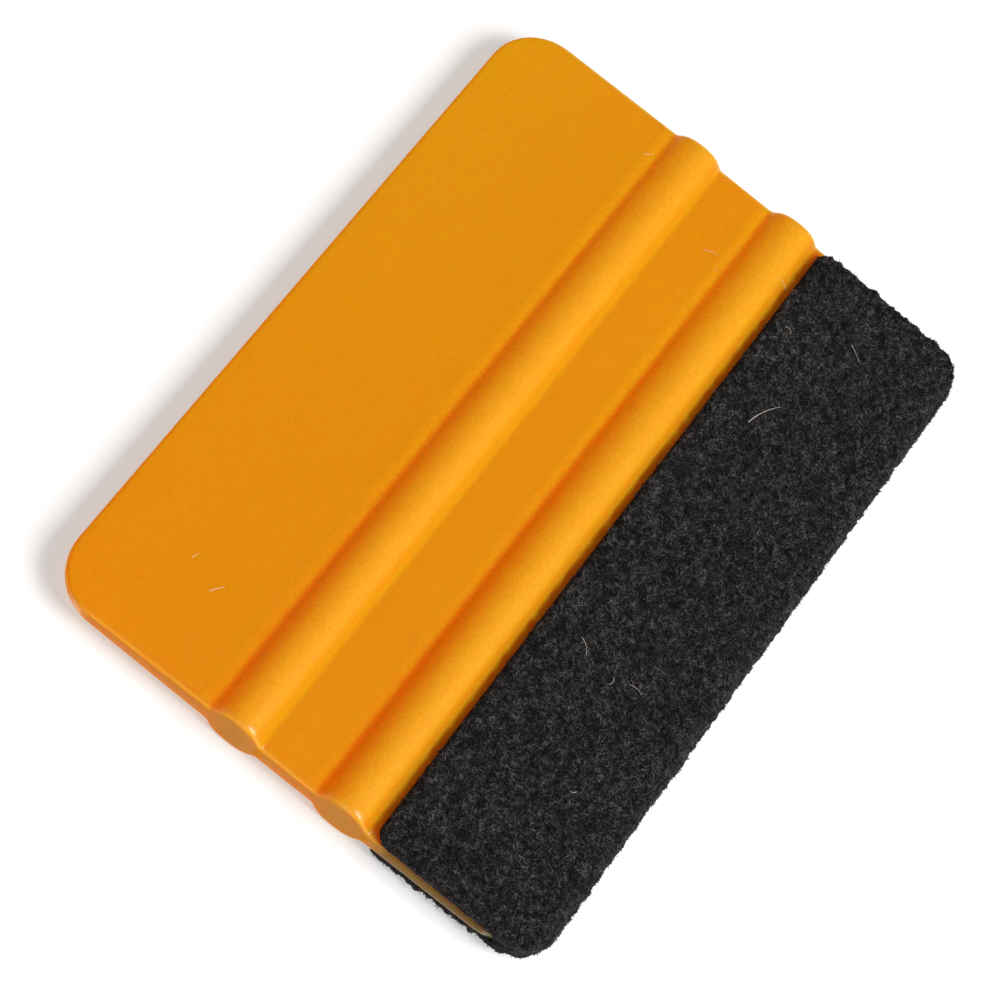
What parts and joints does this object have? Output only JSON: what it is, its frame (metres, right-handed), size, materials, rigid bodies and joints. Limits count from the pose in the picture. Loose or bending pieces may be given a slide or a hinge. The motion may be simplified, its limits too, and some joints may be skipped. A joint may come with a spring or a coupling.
{
  "type": "squeegee applicator",
  "caption": "Flat hand squeegee: moulded plastic card with grip ribs on both faces and a felt strip folded over its working edge.",
  "frame": {"origin": "middle of the footprint, on the surface that the crests of the two back ribs rest on", "axes": "+X along the working edge, +Y from the felt working edge to the handle edge, +Z out of the front face"},
  "size_m": [0.1, 0.072, 0.0074],
  "materials": {
    "card_plastic": "satin",
    "adhesive": "satin",
    "felt": "matte"
  },
  "bodies": {
    "root": {"card": "card_plastic", "adhesive_film": "adhesive", "felt_strip": "felt"}
  },
  "joints": []
}
